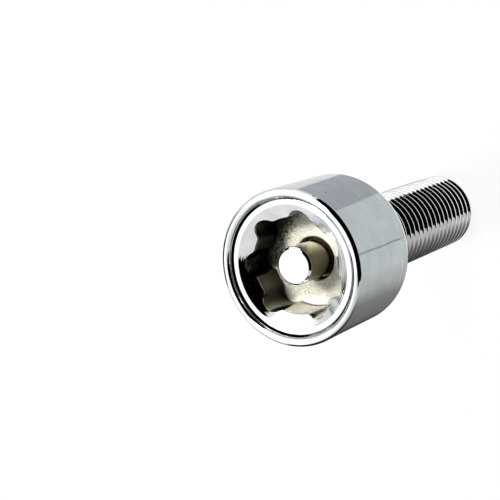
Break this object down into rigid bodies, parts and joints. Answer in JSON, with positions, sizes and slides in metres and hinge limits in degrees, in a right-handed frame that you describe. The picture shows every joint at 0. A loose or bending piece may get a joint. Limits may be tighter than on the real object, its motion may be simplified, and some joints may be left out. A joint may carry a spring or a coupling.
{
  "type": "locking wheel bolt",
  "caption": "Locking wheel bolt: threaded shank, cone seat, and a head with a lobed key recess round a centre pin, inside a collar that spins freely.",
  "frame": {"origin": "centre of the tip's end face, on the bolt's axis, at the bottom of the object's box", "axes": "+Z along the axis from the threaded tip to the head and its recess; -X points midway between the two lobes of the recess that stand closest together"},
  "size_m": [0.0222, 0.0222, 0.0499],
  "materials": {
    "bolt_chrome": "bright plating over forged steel, satin nickel tone inside the recess",
    "pin_steel": "turned and plated, faint rings on the end",
    "spring_steel": "plain spring wire, hidden inside",
    "collar_chrome": "bright plating on turned steel, polished"
  },
  "bodies": {
    "bolt": {"bolt_body": "bolt_chrome", "centre_pin": "pin_steel", "retaining_ring": "spring_steel"},
    "collar": {"collar": "collar_chrome"}
  },
  "joints": [
    {"name": "collar_spin", "type": "hinge", "parent": "bolt", "child": "collar", "pos_m": [0, 0, 0.0424], "axis": [0, 0, 1], "continuous": true}
  ]
}
